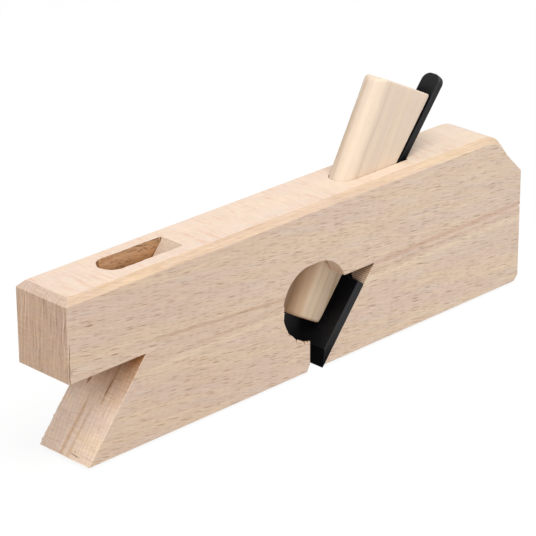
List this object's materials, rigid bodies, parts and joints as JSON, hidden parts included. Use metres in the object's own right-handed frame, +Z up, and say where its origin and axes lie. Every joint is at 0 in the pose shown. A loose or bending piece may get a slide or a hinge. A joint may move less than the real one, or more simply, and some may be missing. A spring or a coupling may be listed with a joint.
{
  "type": "wooden corner rabbet plane",
  "caption": "Wooden rabbet plane: slim stock, T-shaped iron held by a full-round wedge in a leaning mortise, open mouth and escapement, and a further bed open to the toe.",
  "frame": {"origin": "on the sole, below the middle of the stock's length and width (the iron's edge stands 1.3 mm lower)", "axes": "+Z up from the sole, +X towards the heel (the toe points to -X), +Y across"},
  "size_m": [0.27, 0.0302, 0.1176],
  "materials": {
    "stock": "satin, planed beech with a thin oil finish",
    "wedge": "satin, pale hornbeam",
    "iron": "satin black, oxide-blackened steel"
  },
  "bodies": {
    "stock": {"stock": "stock"},
    "iron": {"iron": "iron"},
    "wedge": {"wedge": "wedge"}
  },
  "joints": [
    {"name": "iron_slide", "type": "slide", "parent": "stock", "child": "iron", "axis": [0.6293, 0, 0.7771], "range_m": [-0.003, 0.0035]},
    {"name": "wedge_slide", "type": "slide", "parent": "stock", "child": "wedge", "axis": [0.6231, 0, 0.7822], "range_m": [0, 0.085]}
  ]
}
